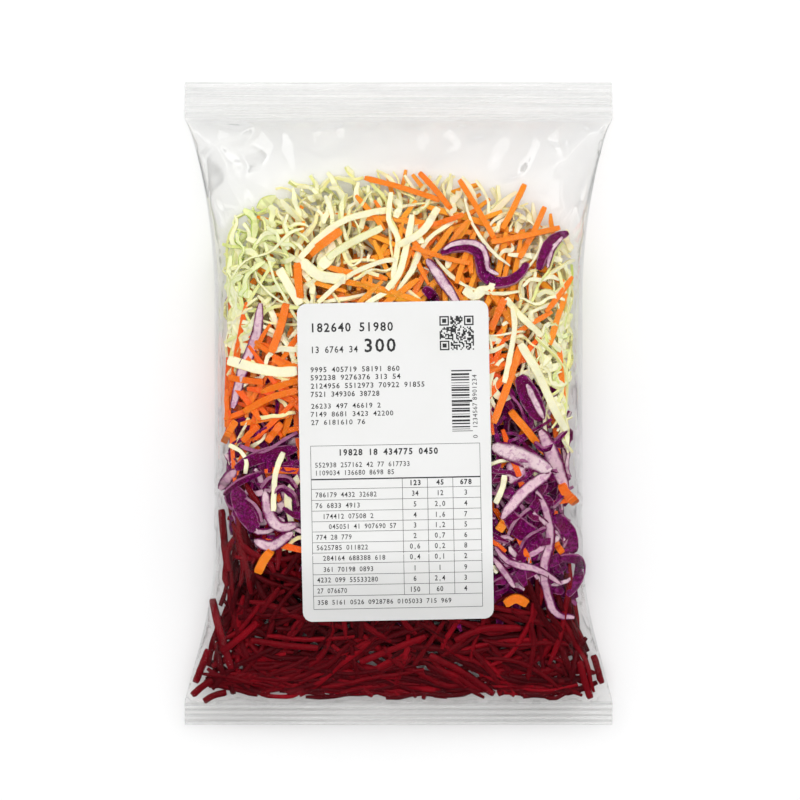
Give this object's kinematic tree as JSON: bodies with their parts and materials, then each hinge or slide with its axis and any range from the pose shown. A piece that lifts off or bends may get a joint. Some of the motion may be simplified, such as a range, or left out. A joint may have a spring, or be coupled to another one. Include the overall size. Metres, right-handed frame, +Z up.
{
  "type": "bag of mixed shredded salad",
  "caption": "Sealed clear pillow bag of shredded beetroot, red cabbage, carrot and white cabbage, lying flat with a white paper label on its front.",
  "frame": {"origin": "on the floor under the middle of the bag, which lies on its back", "axes": "+Y along the bag towards its wide top seal, +X to the right seen from the front, +Z up out of the labelled front"},
  "size_m": [0.2, 0.3, 0.0408],
  "materials": {
    "film": "clear glossy food film, crimped at both ends",
    "label_paper": "smooth white sticker paper",
    "label_ink": "black thermal print",
    "carrot": "fresh cut carrot",
    "beetroot": "moist cut beetroot",
    "red_cabbage": "purple leaf skin with pale cut faces",
    "white_cabbage": "cream to pale green cut leaf"
  },
  "bodies": {
    "root": {"bag": "film", "label": "label_paper"}
  },
  "joints": []
}
